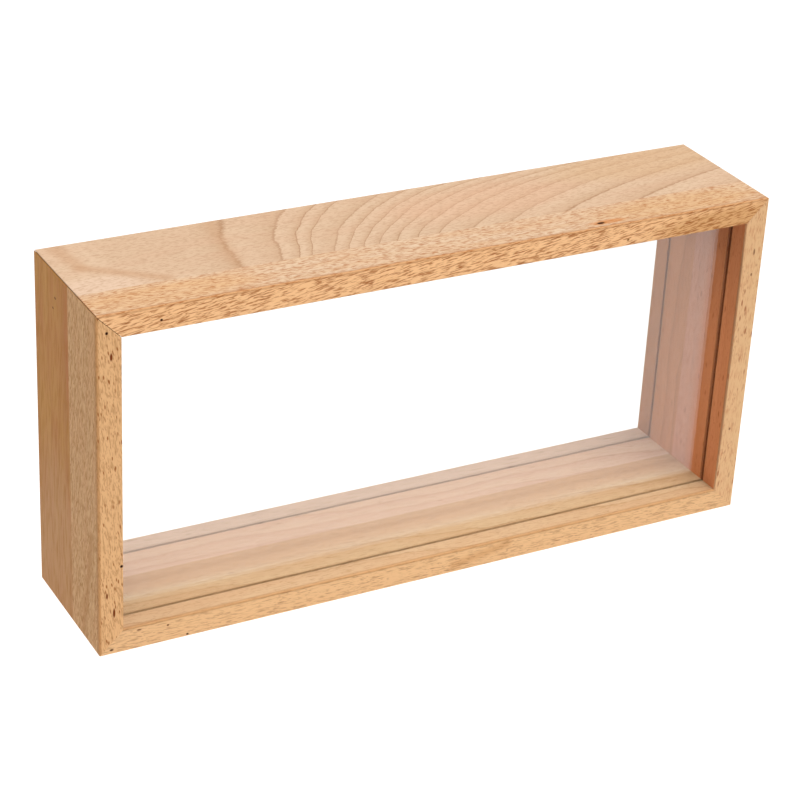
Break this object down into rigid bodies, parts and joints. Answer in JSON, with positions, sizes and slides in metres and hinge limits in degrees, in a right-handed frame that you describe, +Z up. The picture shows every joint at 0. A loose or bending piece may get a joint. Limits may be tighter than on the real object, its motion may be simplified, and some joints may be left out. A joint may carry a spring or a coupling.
{
  "type": "shadow box",
  "caption": "Long, low wooden shadow box with mitred corners, clear panes front and back in grooves, and a lift-off lid.",
  "frame": {"origin": "middle of the underside, midway between the ends and between the front and rear rims", "axes": "+X along the case towards its right end, +Y from the front rim to the rear rim, +Z up"},
  "size_m": [0.35, 0.075, 0.173],
  "materials": {
    "beech_warm": "satin oiled beech, warm orange stave",
    "beech_pale": "satin oiled beech, paler pinkish stave",
    "spline_beech": "sawn beech",
    "clear_acrylic": "clear polished acrylic sheet",
    "steel_pin": "ground steel dowel pin",
    "nickel_magnet": "nickel-plated magnet"
  },
  "bodies": {
    "case": {"left_board_front_stave": "beech_pale", "left_board_rear_stave": "beech_warm", "right_board_front_stave": "beech_pale", "right_board_rear_stave": "beech_warm", "bottom_board_front_stave": "beech_warm", "bottom_board_rear_stave": "beech_pale", "bottom_left_spline": "spline_beech", "bottom_right_spline": "spline_beech", "left_lid_pins": "steel_pin", "right_lid_pins": "steel_pin", "left_board_magnets": "nickel_magnet", "right_board_magnets": "nickel_magnet"},
    "lid": {"lid_front_stave": "beech_warm", "lid_rear_stave": "beech_pale", "lid_left_magnets": "nickel_magnet", "lid_right_magnets": "nickel_magnet"},
    "front_pane": {"front_pane": "clear_acrylic"},
    "rear_pane": {"rear_pane": "clear_acrylic"}
  },
  "joints": [
    {"name": "lid_lift", "type": "slide", "parent": "case", "child": "lid", "axis": [0, 0, 1], "range_m": [0, 0.3]},
    {"name": "front_pane_slide", "type": "slide", "parent": "case", "child": "front_pane", "axis": [0, 0, 1], "range_m": [0, 0.18]},
    {"name": "rear_pane_slide", "type": "slide", "parent": "case", "child": "rear_pane", "axis": [0, 0, 1], "range_m": [0, 0.18]}
  ],
  "couplings": [
    {"joint": "front_pane_slide", "follows": "lid_lift", "ratio": 0.6},
    {"joint": "rear_pane_slide", "follows": "lid_lift", "ratio": 0.6}
  ]
}
